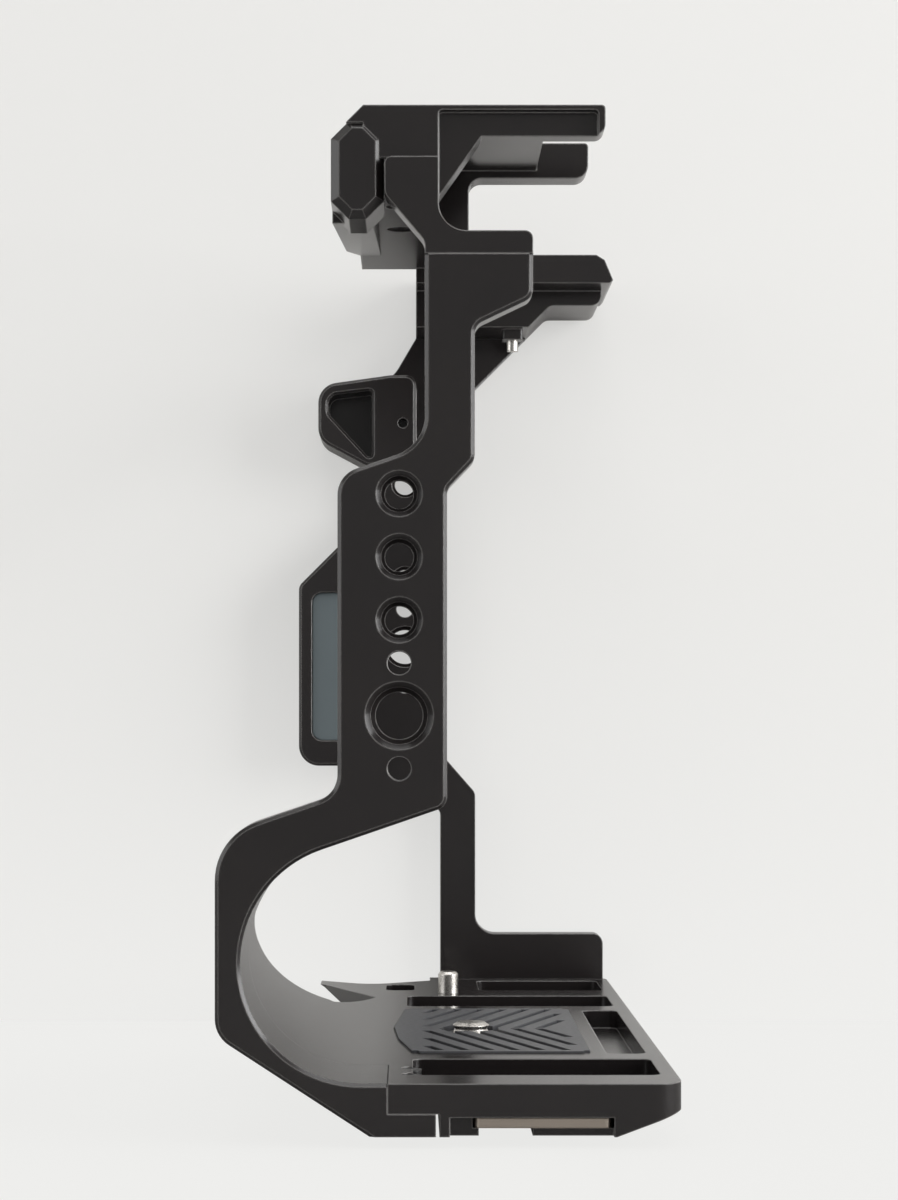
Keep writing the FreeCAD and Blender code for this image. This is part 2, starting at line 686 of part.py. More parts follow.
def make_base_plate():
    """Plate with the palm rest, slots, pad bed, screw well and wrench slot."""
    body = new_body("base_plate")
    toe_slope = (s.hook_toe_height - s.floor_height) / (FRONT_REACH - s.toe_front)
    section = [
        (s.back_reach, s.base_top),
        (-s.palm_setback, s.base_top),
        (-s.toe_meet, s.floor_height + toe_slope * (s.toe_meet - s.toe_front)),
        (-s.toe_front, s.floor_height),
        (s.floor_back, s.floor_height),
        (s.back_reach, s.base_top - s.back_edge_height),
    ]
    pad(body, "Slab", "YZ_Plane", FAR, s.cage_length, section)
    shell = (-s.palm_setback, PALM_HEIGHT, (s.palm_radius + s.palm_wall) * 2)
    round_pad(body, "PalmShell", "YZ_Plane", FAR, s.cage_length - s.hook_width - s.liner_gap, shell)
    palm = (-s.palm_setback, PALM_HEIGHT, s.palm_radius * 2)
    bore(body, "PalmHollow", "YZ_Plane", NEAR, s.cage_length, [palm])
    clear_top = s.cage_height
    over = box_corners(-s.palm_setback, s.base_top, s.back_reach + s.cut_margin, clear_top)
    cut(body, "HandSpace", "YZ_Plane", NEAR, s.cage_length, over)
    ring_place = NEAR - s.hook_width
    edge = [
        (ring_place + s.cut_margin, clear_top),
        (FAR - s.cut_margin, clear_top),
        (FAR - s.cut_margin, s.base_top),
        (s.notch_root, s.base_top),
        (s.rest_low_place, s.rest_edge_low, s.rest_low_radius),
        (s.rest_middle_place, s.rest_edge_middle, s.rest_middle_radius),
        (ring_place, s.rest_edge_high),
        (ring_place + s.cut_margin, s.rest_edge_high),
    ]
    cut(body, "RestEdge", "XZ_Plane", 0, FRONT_REACH + s.cut_margin, edge, True)
    outside = -FRONT_REACH - s.cut_margin
    notch = [
        (s.notch_start, outside),
        (s.notch_start, -s.notch_start_front),
        (s.notch_root, -s.notch_root_front, s.small_round),
        (s.ear_near_place, -s.ear_near_front),
        (s.ear_near_place, outside),
    ]
    cut(body, "PalmNotch", "XY_Plane", clear_top, s.cage_height * 2, notch)
    far_front = [
        (s.ear_tip_place, outside),
        (s.ear_tip_place, -s.ear_tip_front),
        (s.ear_neck_place, -s.ear_neck_front, s.large_round),
        (s.ear_end_place, -s.ear_end_front),
        (FAR - s.cut_margin, -s.ear_end_front),
        (FAR - s.cut_margin, outside),
    ]
    cut(body, "FarFront", "XY_Plane", clear_top, s.cage_height * 2, far_front)
    hook_bay = box_corners(ring_place - s.liner_gap, outside, NEAR + s.cut_margin, -s.base_front_seam)
    cut(body, "HookBay", "XY_Plane", clear_top, s.cage_height * 2, hook_bay)
    bay_end = NEAR - s.tongue_length - s.liner_gap
    tongue_bay = box_corners(bay_end, -s.toe_front - s.cut_margin, NEAR + s.cut_margin,
                             -s.tongue_back + s.tongue_gap)
    cut(body, "TongueBay", "XY_Plane", TONGUE_TOP, s.cage_length, tongue_bay)
    slots = (
        ("NearSlot", s.near_slot_start, s.near_slot_end, -s.near_slot_front, s.slot_back),
        ("RearSlot", s.rear_slot_start, s.rear_slot_end, s.rear_slot_front, s.slot_back),
        ("MiddleSlot", s.middle_slot_start, s.middle_slot_end, -s.middle_slot_front, s.slot_back),
        ("FarSlot", s.far_slot_start, s.far_slot_end, s.far_slot_front, s.slot_back),
        ("SmallSlot", s.small_slot_start, s.small_slot_end, -s.small_slot_front, -s.small_slot_setback),
    )
    for name, start, end, front, back in slots:
        corners = box_corners(end, front, start, back, s.slot_corner)
        cut(body, name, "XY_Plane", s.base_top, s.slot_depth, corners)
    cut(body, "PadBed", "XY_Plane", s.base_top, s.pad_recess, pad_corners(0))
    well_width = s.screw_head + s.screw_well_gap * 2
    passage = s.screw_thread + s.screw_bore_gap * 2
    bore(body, "ScrewPassage", "XY_Plane", s.base_top, s.cage_length,
         [(s.screw_place, s.screw_offset, passage)])
    bore(body, "ScrewWell", "XY_Plane", s.screw_well_roof, s.cage_length,
         [(s.screw_place, s.screw_offset, well_width)])
    bore(body, "PinHole", "XY_Plane", s.base_top, s.locating_depth,
         [(s.locating_place, s.locating_offset, s.locating_root)])
    side = s.wrench_side_gap
    low = s.wrench_roof - s.wrench_thickness - s.wrench_gap * 2
    front, back = s.wrench_front - side, s.wrench_front + s.wrench_width + side
    under = s.floor_height - s.cut_margin
    tee = [
        (front, s.wrench_roof),
        (front, low),
        (s.lip_front, low),
        (s.lip_front, under),
        (s.lip_back, under),
        (s.lip_back, low),
        (back, low),
        (back, s.wrench_roof),
    ]
    cut(body, "WrenchSlot", "YZ_Plane", NEAR, s.wrench_length + s.wrench_inset + side, tee)
    mouth = box_corners(s.mouth_front, under, back, s.wrench_roof)
    cut(body, "WrenchMouth", "YZ_Plane", NEAR, s.mouth_depth, mouth)
    magnets = []
    for number in PAIR:
        place = s.magnet_place - s.magnet_pitch * number
        magnets.append((place, wrench_middle(), s.magnet_diameter))
    bore(body, "MagnetPockets", "XY_Plane", s.wrench_roof, s.magnet_height, magnets, True)
    joint = []
    for number in PAIR:
        place = s.left_screw_place - s.left_screw_pitch * number
        joint.append((place, -s.base_screw_setback, s.base_screw_diameter))
    bore(body, "LeftJointHoles", "XY_Plane", s.base_top, s.cage_length, joint)
    shanks = []
    heads = []
    for place, setback in right_screw_places():
        shanks.append((place, setback, s.frame_screw_diameter))
        heads.append((place, setback, s.frame_screw_head))
    bore(body, "RightJointHoles", "XY_Plane", s.base_top, s.cage_length, shanks)
    bore(body, "RightHeadSeats", "XY_Plane", s.floor_height + s.frame_screw_head_height + s.screw_end_gap,
         s.cage_length, heads)
    dress(body, "PartDesign::Fillet", "BackCorners", s.back_corner_radius,
          lambda edge: runs_along(edge, "z") and lies_at(edge, "y", s.back_reach))
    return body


def wrench_middle():
    """Middle of the wrench across the cage."""
    return s.wrench_front + s.wrench_width / 2


def right_screw_places():
    """Places of the screws that hold the right side frame to the base."""
    along = FAR + s.right_wall / 2
    return [(along, s.right_screw_first + s.right_screw_pitch * number) for number in PAIR]


def top_screw_places():
    """Places of the screws that hold the top plate to the right side frame."""
    along = FAR + s.right_wall / 2
    return [(along, s.top_screw_first + s.top_screw_pitch * number) for number in PAIR]


def pad_corners(gap):
    """Outline of the camera pad, drawn in from its bed by a gap."""
    corner = s.corner_round
    return [
        (s.pad_left - gap, -s.pad_front + gap, corner),
        (s.pad_left - gap, s.pad_back - gap, corner),
        (s.pad_right + gap, s.pad_back - gap, corner),
        (s.pad_right + gap, -s.pad_far_front + gap, corner),
        (s.pad_nose_right, -s.pad_nose_peak + gap, corner),
        (s.pad_nose_left - gap, -s.pad_nose_front + gap, corner),
    ]


def make_right_side_frame():
    """Wall with a forward lug, a wing with a soft inlay, a leg and a foot on the base."""
    body = new_body("right_side_frame")
    web_rise = s.right_web_back - s.right_bar_back
    lug_line = [
        (-s.right_neck_front, s.right_seam),
        (-s.lug_neck, s.lug_rise, s.large_round),
        (-s.lug_front, s.lug_top, s.small_round * 2),
        (-s.lug_front, s.lug_foot, s.small_round * 2),
        (-s.right_bar_front, s.lug_root, s.small_round),
    ]
    wing_line = [
        (-s.right_bar_front, s.wing_top + s.wing_front - s.right_bar_front, s.small_round),
        (-s.wing_front, s.wing_top, s.small_round),
        (-s.wing_front, s.wing_foot, s.small_round * 2),
        (-s.right_bar_front, s.wing_foot, s.small_round),
    ]
    leg_line = [
        (s.right_leg_front, s.right_leg_joint, s.small_round),
        (s.right_leg_front, s.base_top),
        (s.foot_back, s.base_top),
        (s.foot_back, s.foot_top, s.small_round),
        (s.right_leg_back, s.foot_top, s.small_round * 2),
        (s.right_leg_back, s.right_leg_top, s.small_round),
        (s.right_bar_back, s.right_leg_root, s.small_round),
        (s.right_bar_back, s.right_seam - web_rise, s.small_round),
        (s.right_web_back, s.right_seam),
    ]
    pad(body, "SidePlate", "YZ_Plane", FAR, s.right_wall, lug_line + wing_line + leg_line)
    lug = [
        (-s.lug_neck, s.lug_rise, s.small_round),
        (-s.lug_front, s.lug_top, s.small_round * 2),
        (-s.lug_front, s.lug_foot, s.small_round * 2),
        (-s.right_bar_front, s.lug_root, s.small_round),
        (-s.right_neck_front, s.lug_boss_foot, s.small_round / 2),
        (-s.right_neck_front, s.lug_rise, s.small_round),
    ]
    pad(body, "Lug", "YZ_Plane", FAR, s.lug_depth, lug)
    wing = [
        (-s.right_bar_front, s.wing_top + s.wing_front - s.right_bar_front),
        (-s.wing_front, s.wing_top, s.small_round),
        (-s.wing_front, s.wing_foot, s.small_round * 2),
        (-s.right_bar_front, s.wing_foot),
    ]
    pad(body, "Wing", "YZ_Plane", FAR, s.wing_depth, wing)
    rim = s.lug_rim
    pocket_back = -s.lug_boss_front - s.edge_chamfer
    pocket = [
        (pocket_back, s.lug_top - rim / 2, s.fine_round),
        (-s.lug_front + rim, s.lug_top - rim, s.small_round),
        (-s.lug_front + rim, s.lug_pocket_foot, s.small_round),
        (pocket_back, s.lug_root + rim / 2, s.fine_round),
    ]
    cut(body, "LugPocket", "YZ_Plane", FAR + s.lug_depth, s.lug_pocket_depth, pocket)
    inlay = inlay_corners(0)
    cut(body, "InlayBed", "YZ_Plane", FAR + s.wing_depth, s.inlay_recess, inlay)
    pin = (-s.lug_pin_setback, s.lug_pin_height, s.lug_pin_bore)
    bore(body, "LugPinHole", "YZ_Plane", FAR + s.lug_depth, s.lug_pin_depth, [pin])
    holes = [(-s.right_hole_setback, s.right_anchor_height, s.three_eighth_bore)]
    for height in (s.right_hole_low, s.right_hole_middle, s.right_hole_high):
        holes.append((-s.right_hole_setback, height, s.quarter_bore))
    for side in (-1, 1):
        height = s.right_anchor_height + s.anchor_pin_pitch / 2 * side
        holes.append((-s.right_hole_setback, height, s.anchor_pin_bore))
    bore(body, "MountHoles", "YZ_Plane", FAR, s.right_wall * 2, holes, True)
    shanks = [(place, setback, s.frame_screw_diameter) for place, setback in right_screw_places()]
    bore(body, "FootHoles", "XY_Plane", s.base_top, s.frame_screw_grip, shanks, True)
    shanks = [(place, setback, s.frame_screw_diameter) for place, setback in top_screw_places()]
    bore(body, "SeamHoles", "XY_Plane", s.right_seam, s.frame_screw_grip, shanks)
    outer = FAR + s.lug_depth
    dress(body, "PartDesign::Chamfer", "LugEdges", s.edge_chamfer,
          lambda edge: lies_at(edge, "x", outer) and not edge.isClosed())
    wing_face = FAR + s.wing_depth
    wing_root = -s.right_bar_front.value - s.fine_round.value
    rim_back = -s.wing_front.value + s.wing_rim.value
    dress(body, "PartDesign::Chamfer", "WingEdges", s.edge_chamfer,
          lambda edge: lies_at(edge, "x", wing_face) and edge.BoundBox.YMax < wing_root
          and edge.BoundBox.YMin < rim_back)
    return body


def inlay_corners(gap):
    """Outline of the soft inlay in the wing, drawn in from its bed by a gap."""
    return [
        (-s.wing_front + s.wing_rim + gap, s.inlay_foot + gap, s.small_round),
        (-s.inlay_back - gap, s.inlay_foot + gap, s.small_round),
        (-s.inlay_back - gap, s.inlay_top - gap, s.small_round),
        (-s.wing_front + s.wing_rim + gap, s.inlay_top - gap, s.small_round),
    ]


def make_top_plate():
    """Slab with a front skirt and block, a riser on the left wall and three fingers."""
    body = new_body("top_plate")
    top = s.cage_height
    face = NEAR - s.head_inset
    slab_foot = top - s.plate_thickness
    finger_root = -s.riser_back
    slab = box_corners(s.right_finger_place - s.right_finger_nose, -s.plate_front, face, s.plate_back)
    pad(body, "Slab", "XY_Plane", slab_foot, s.plate_thickness, slab)
    head = box_corners(-s.head_front, top - s.head_thickness, finger_root, top)
    pad(body, "Head", "YZ_Plane", face, NEAR - s.inner_finger_place, head, True)
    finger_foot = top - s.finger_thickness
    finger = [
        (finger_root, finger_foot),
        (s.left_finger_back, finger_foot, s.finger_round),
        (s.left_finger_back, top, s.fine_round),
        (finger_root, top),
    ]
    pad(body, "LeftFinger", "YZ_Plane", face, s.finger_width, finger, True)
    inner_foot = top - s.inner_finger_thickness
    inner = [
        (finger_root, top),
        (s.inner_finger_back, top, s.fine_round),
        (s.inner_finger_back, inner_foot, s.small_round),
        (s.inner_finger_root, inner_foot, s.small_round),
        (s.inner_finger_root, s.gusset_root),
        (finger_root, s.gusset_root),
    ]
    pad(body, "InnerFinger", "YZ_Plane", s.inner_finger_place, s.finger_width, inner, True)
    bridge = box_corners(s.inner_finger_place - s.finger_width, finger_root, face, s.bridge_back)
    pad(body, "Bridge", "XY_Plane", top - s.bridge_thickness, s.bridge_thickness, bridge)
    riser = [
        (s.left_head_back, s.left_seam),
        (s.left_head_back, s.riser_step, s.riser_round),
        (finger_root, s.riser_step, s.small_round * 2),
        (finger_root, s.riser_top),
        (-s.riser_front, s.riser_top, s.corner_round),
        (-s.riser_front, s.riser_foot, s.small_round),
        (-s.left_neck_front, s.riser_toe, s.small_round),
        (-s.left_neck_front, s.left_seam),
    ]
    pad(body, "Riser", "YZ_Plane", NEAR, s.left_wall, riser, True)
    gusset = [
        (finger_root, finger_foot),
        (finger_root, s.riser_foot),
        (s.gusset_back, finger_foot),
    ]
    pad(body, "Gusset", "YZ_Plane", face - s.finger_inset, s.finger_width, gusset, True)
    skirt = [
        (s.skirt_start, s.skirt_foot),
        (s.skirt_start, slab_foot),
        (s.skirt_end, slab_foot),
    ]
    pad(body, "Skirt", "XZ_Plane", s.plate_front, s.skirt_back, skirt, True)
    octagon = [
        (-s.plate_front, s.block_foot + s.block_corner),
        (-s.plate_front + s.block_corner, s.block_foot),
        (-s.block_back - s.block_corner, s.block_foot),
        (-s.block_back, s.block_foot + s.block_corner),
        (-s.block_back, s.block_top - s.block_corner),
        (-s.block_back - s.block_corner, s.block_top),
        (-s.plate_front + s.block_corner, s.block_top),
        (-s.plate_front, s.block_top - s.block_corner),
    ]
    block_face = NEAR - s.block_inset - s.block_bevel
    pad(body, "Block", "YZ_Plane", block_face, s.block_width - s.block_bevel, octagon, True)
    bevel = pad(body, "BlockBevel", "YZ_Plane", block_face, s.block_bevel, octagon)
    bevel.TaperAngle = -45
    finger_end = s.right_finger_back
    right_length = s.right_finger_place - FAR
    right_foot = top - s.right_finger_thickness
    upper = [
        (-s.right_neck_front, right_foot),
        (-s.right_neck_front, top),
        (finger_end - s.right_finger_nose * 2, top),
        (finger_end - s.right_finger_nose, top - s.corner_round),
        (finger_end, right_foot + s.fine_round),
        (finger_end - s.fine_round, right_foot),
    ]
    pad(body, "RightFinger", "YZ_Plane", FAR, right_length, upper)
    lower = [
        (-s.right_neck_front, s.right_seam),
        (-s.right_neck_front, right_foot),
        (finger_end - s.right_finger_nose, right_foot),
        (finger_end - s.right_finger_nose, s.right_head_foot, s.small_round),
        (s.right_web_back + s.right_head_foot - s.right_seam, s.right_head_foot, s.small_round),
        (s.right_web_back, s.right_seam),
    ]
    pad(body, "RightHead", "YZ_Plane", FAR, s.right_head_place - FAR, lower)
    half_boss = s.strap_boss_width / 2
    boss = box_corners(s.strap_screw_place - half_boss, s.strap_screw_setback - half_boss,
                       s.strap_screw_place + half_boss, s.strap_screw_setback + half_boss, s.fine_round)
    pad(body, "StrapBoss", "XY_Plane", s.strap_boss_foot, s.right_head_foot - s.strap_boss_foot, boss)
    strap_hole = s.strap_screw_diameter + s.strap_screw_gap * 2
    strap_depth = s.strap_screw_tip + s.strap_screw_length + s.strap_screw_gap - s.strap_boss_foot
    bore(body, "StrapScrewHole", "XY_Plane", s.strap_boss_foot, strap_depth,
         [(s.strap_screw_place, s.strap_screw_setback, strap_hole)], True)
    slope = [
        (-s.head_front, top),
        (-s.head_front - s.cut_margin, top - s.cut_margin),
        (-s.head_front - s.cut_margin, top + s.cut_margin),
        (-s.head_front, top + s.cut_margin),
    ]
    cut(body, "FrontSlope", "YZ_Plane", NEAR, s.cage_length, slope)
    recess_top = top - s.finger_recess_drop
    recess_back = s.left_finger_back - s.corner_round
    recess = [
        (finger_root, recess_top, s.fine_round),
        (recess_back, recess_top, s.fine_round),
        (recess_back, s.riser_step),
        (finger_root, s.riser_step),
    ]
    cut(body, "FingerRecess", "YZ_Plane", face, s.finger_inset, recess)
    holes = [(s.screw_place + s.cut_margin * number, -s.left_hole_setback, s.quarter_bore)
             for number in (-1, 0, 1)]
    bore(body, "TopHoles", "XY_Plane", top, s.plate_thickness * 2, holes)
    shanks = []
    heads = []
    for place, setback in top_screw_places():
        shanks.append((place, setback, s.frame_screw_diameter))
        heads.append((place, setback, s.frame_screw_head))
    bore(body, "RightScrewHoles", "XY_Plane", top, s.cage_length, shanks)
    bore(body, "RightScrewSeats", "XY_Plane", top, right_head_depth(), heads)
    shanks = []
    heads = []
    for number in PAIR:
        setback = s.seam_screw_first + s.seam_screw_pitch * number
        shanks.append((NEAR - s.left_wall / 2, setback, s.seam_screw_diameter))
        heads.append((NEAR - s.left_wall / 2, setback, s.seam_screw_head))
    bore(body, "SeamScrewHoles", "XY_Plane", s.riser_step, s.cage_length, shanks)
    bore(body, "SeamScrewSeats", "XY_Plane", s.riser_step, s.seam_screw_head_height, heads)
    return body


def right_head_depth():
    """Depth at which the heads of the right top screws sit below the top face."""
    return s.cage_height - s.right_seam - s.frame_screw_grip


def place_object(thing, across, along, up):
    """Put a primitive at a place given by three sizes."""
    for letter, size in (("x", across), ("y", along), ("z", up)):
        bind(thing, f"Placement.Base.{letter}", size)


def cylinder(name, diameter, height, across, along, up):
    """Upright cylinder by its diameter and the centre of its lower end."""
    thing = document.addObject("Part::Cylinder", name)
    bind(thing, "Radius", as_size(diameter) / 2)
    bind(thing, "Height", height)
    place_object(thing, across, along, up)
    return thing


def hexagon(name, width, height, across, along, up):
    """Upright six-sided prism by its width across flats."""
    thing = document.addObject("Part::Prism", name)
    thing.Polygon = 6
    bind(thing, "Circumradius", as_size(width) / math.sqrt(3))
    bind(thing, "Height", height)
    place_object(thing, across, along, up)
    return thing


def box(name, length, width, height, across, along, up):
    """Block by its three sides and its lowest corner."""
    thing = document.addObject("Part::Box", name)
    bind(thing, "Length", length)
    bind(thing, "Width", width)
    bind(thing, "Height", height)
    place_object(thing, across, along, up)
    return thing


def joined(name, pieces):
    """Fuse overlapping or touching solids into one."""
    thing = document.addObject("Part::MultiFuse", name)
    thing.Shapes = pieces
    return thing


def less(name, base, tool):
    """Take one solid away from another."""
    thing = document.addObject("Part::Cut", name)
    thing.Base = base
    thing.Tool = tool
    return thing


def group(label, pieces):
    """Gather separate solids in one node."""
    thing = document.addObject("Part::Compound", label)
    thing.Label = label
    thing.Links = pieces
    return thing


def socket_screw(name, place, foot, reach, diameter, head, head_height, upward):
    """Screw along Z from its head's outer face, with a hexagonal socket in the head."""
    across, along = place
    shank_length = reach - head_height
    shank_foot = foot + head_height if upward else foot - reach
    head_foot = foot if upward else foot - head_height
    socket_foot = foot if upward else foot - s.socket_depth
    shank = cylinder(f"{name}Shank", diameter, shank_length, across, along, shank_foot)
    top = cylinder(f"{name}Head", head, head_height, across, along, head_foot)
    whole = joined(f"{name}Blank", [shank, top])
    width = as_size(diameter) * s.socket_share
    return less(name, whole, hexagon(f"{name}Socket", width, s.socket_depth, across, along, socket_foot))


def make_screws():
    """The four sets of joint screws."""
    left = []
    for number in PAIR:
        place = (s.left_screw_place - s.left_screw_pitch * number, -s.base_screw_setback)
        reach = s.base_top - s.screw_end_gap
        left.append(socket_screw(f"LeftBaseScrew{number}", place, as_size(0), reach, s.base_screw_diameter,
                                 s.base_screw_head, s.base_screw_head_height, True))
    right = []
    for number, place in enumerate(right_screw_places()):
        foot = s.floor_height + s.screw_end_gap
        reach = s.base_top + s.frame_screw_grip - s.screw_end_gap - foot
        right.append(socket_screw(f"RightBaseScrew{number}", place, foot, reach, s.frame_screw_diameter,
                                  s.frame_screw_head, s.frame_screw_head_height, True))
    top = []
    for number, place in enumerate(top_screw_places()):
        foot = s.cage_height - right_head_depth() + s.frame_screw_head_height
        reach = s.frame_screw_head_height + s.frame_screw_grip * 2 - s.screw_end_gap
        top.append(socket_screw(f"RightTopScrew{number}", place, foot, reach, s.frame_screw_diameter,
                                s.frame_screw_head, s.frame_screw_head_height, False))
    seam = []
    for number in PAIR:
        place = (NEAR - s.left_wall / 2, s.seam_screw_first + s.seam_screw_pitch * number)
        reach = s.riser_step - s.left_seam + s.frame_screw_grip - s.screw_end_gap
        seam.append(socket_screw(f"LeftTopScrew{number}", place, s.riser_step, reach,
                                 s.seam_screw_diameter, s.seam_screw_head, s.seam_screw_head_height, False))
    return [
        group("left_base_screws", left),
        group("right_base_screws", right),
        group("right_top_screws", top),
        group("left_top_screws", seam),
    ]


def make_camera_pad():
    """Rubber pad in the bed of the base, with a round-ended slot for the camera screw."""
    body = new_body("camera_pad")
    bed = s.base_top - s.pad_recess
    pad(body, "Sheet", "XY_Plane", bed, s.pad_thickness, pad_corners(s.pad_gap))
    half_length = s.pad_slot_length / 2
    half_width = s.pad_slot_width / 2
    slot = box_corners(s.screw_place - half_width, s.screw_offset - half_length,
                       s.screw_place + half_width, s.screw_offset + half_length, s.pad_slot_round)
    cut(body, "ScrewSlot", "XY_Plane", bed + s.pad_thickness, s.pad_thickness * 2, slot)
    return body


def make_camera_screw():
    """Captive screw: thread, thin neck and a wide head with a slot, in its lowered place."""
    tip = s.screw_tip_height
    head_top = s.screw_well_roof - s.head_roof_gap - s.ring_thickness - s.ring_gap - s.screw_rise
    head_foot = head_top - s.screw_head_height
    thread_foot = tip - s.screw_thread_length
    place = (s.screw_place, s.screw_offset)
    head = cylinder("ScrewHead", s.screw_head, s.screw_head_height, *place, head_foot)
    neck = cylinder("ScrewNeck", s.screw_neck, thread_foot - head_top, *place, head_top)
    thread = cylinder("ScrewThread", s.screw_thread, s.screw_thread_length, *place, thread_foot)
    blank = joined("ScrewBlank", [head, neck, thread])
    half = s.screw_head / 2
    slot = box("ScrewSlot", s.screw_head, s.screw_slot_width, s.screw_slot_depth,
               s.screw_place - half, s.screw_offset - s.screw_slot_width / 2, head_foot)
    screw = less("camera_screw", blank, slot)
    screw.Label = "camera_screw"
    ring_blank = cylinder("RingBlank", s.ring_outer, s.ring_thickness, *place, head_top + s.ring_gap)
    bore_width = s.screw_neck + s.ring_gap * 2
    ring_bore = cylinder("RingBore", bore_width, s.ring_thickness * 2, *place, head_top)
    ring = less("screw_washer", ring_blank, ring_bore)
    ring.Label = "screw_washer"
    return [screw, ring]


def make_locating_pin():
    """Steel pin with a thinner root pressed into the base, chamfered at its top."""
    body = new_body("locating_pin")
    place = (s.locating_place, s.locating_offset)
    root = s.base_top - s.locating_depth
    round_pad(body, "Root", "XY_Plane", root, s.locating_depth, (*place, s.locating_root))
    round_pad(body, "Stem", "XY_Plane", s.base_top, s.locating_rise, (*place, s.locating_diameter))
    top = s.base_top + s.locating_rise
    dress(body, "PartDesign::Chamfer", "Tip", s.locating_chamfer, lambda edge: lies_at(edge, "z", top))
    return body


def make_flat_wrench():
    """Flat tool that slides into the base: a driver blade, a hexagonal hole and a round hole."""
    body = new_body("flat_wrench")
    outer = NEAR - s.wrench_inset
    inner = outer - s.wrench_length
    low = s.wrench_roof - s.wrench_thickness - s.wrench_gap
    back = s.wrench_front + s.wrench_width
    middle = wrench_middle()
    half = s.wrench_blade_width / 2
    neck = inner + s.wrench_blade_length
    outline = [
        (outer, s.wrench_front, s.corner_round),
        (outer, back, s.corner_round),
        (neck, back, s.small_round),
        (neck, middle + half, s.corner_round),
        (inner, middle + half),
        (inner, middle - half),
        (neck, middle - half, s.corner_round),
        (neck, s.wrench_front, s.small_round),
    ]
    pad(body, "Plate", "XY_Plane", low, s.wrench_thickness, outline)
    hole_place = inner + s.wrench_hole_place
    bore(body, "RoundHole", "XY_Plane", low + s.wrench_thickness, s.wrench_thickness * 2,
         [(hole_place, middle, s.wrench_hole)])
    hex_place = inner + s.wrench_hex_place
    reach = s.wrench_hex / math.sqrt(3)
    across = s.wrench_hex / 2
    hexagonal = [
        (hex_place + reach, middle),
        (hex_place + reach / 2, middle + across),
        (hex_place - reach / 2, middle + across),
        (hex_place - reach, middle),
        (hex_place - reach / 2, middle - across),
        (hex_place + reach / 2, middle - across),
    ]
    cut(body, "HexHole", "XY_Plane", low + s.wrench_thickness, s.wrench_thickness * 2, hexagonal)
    return body


def make_wrench_magnets():
    """Two round magnets in the roof of the wrench slot."""
    magnets = []
    for number in PAIR:
        place = s.magnet_place - s.magnet_pitch * number
        magnets.append(cylinder(f"Magnet{number}", s.magnet_diameter, s.magnet_height, place,
                                wrench_middle(), s.wrench_roof))
    return group("wrench_magnets", magnets)


def make_side_inlay():
    """Soft inlay in the bed of the wing."""
    body = new_body("side_inlay")
    bed = FAR + s.wing_depth - s.inlay_recess
    pad(body, "Sheet", "YZ_Plane", bed, s.inlay_thickness, inlay_corners(s.inlay_gap))
    return body


def make_strap_screw():
    """Small steel screw that stands out of the boss under the right finger."""
    body = new_body("strap_clamp_screw")
    shank = (s.strap_screw_place, s.strap_screw_setback, s.strap_screw_diameter)
    round_pad(body, "Shank", "XY_Plane", s.strap_screw_tip, s.strap_screw_length, shank)
    return body


def check(parts):
    """Stop if any object failed, or if a sub-part is empty or not valid."""
    for thing in document.Objects:
        bad = {"Invalid", "Error"} & set(thing.State)
        if bad:
            raise RuntimeError(f"{thing.Name}: {thing.State}")
        if thing.TypeId in ("PartDesign::Pocket", "PartDesign::Chamfer", "PartDesign::Fillet"):
            before = thing.BaseFeature.Shape.Volume
            if thing.Shape.Volume > before - 1e-3:
                raise RuntimeError(f"{thing.Name} of {thing.getParent().Label} takes nothing away")
    for part in parts:
        if part.Shape.isNull() or not part.Shape.isValid():
            raise RuntimeError(f"{part.Label} has no valid shape")


PARTS = [
    make_base_plate(),
    make_left_side_frame(),
    make_right_side_frame(),
    make_top_plate(),
    make_camera_pad(),
    *make_camera_screw(),
    make_locating_pin(),
    make_flat_wrench(),
    make_wrench_magnets(),
    make_side_inlay(),
    make_strap_screw(),
    *make_screws(),
]
document.recompute()
check(PARTS)
os.makedirs("parts", exist_ok=True)
for part in PARTS:
    part.Shape.exportStep(f"parts/{part.Label}.step")
    solids = len(part.Shape.Solids)
    print(f"{part.Label}: {solids} solid(s), {part.Shape.Volume:.1f} mm3")
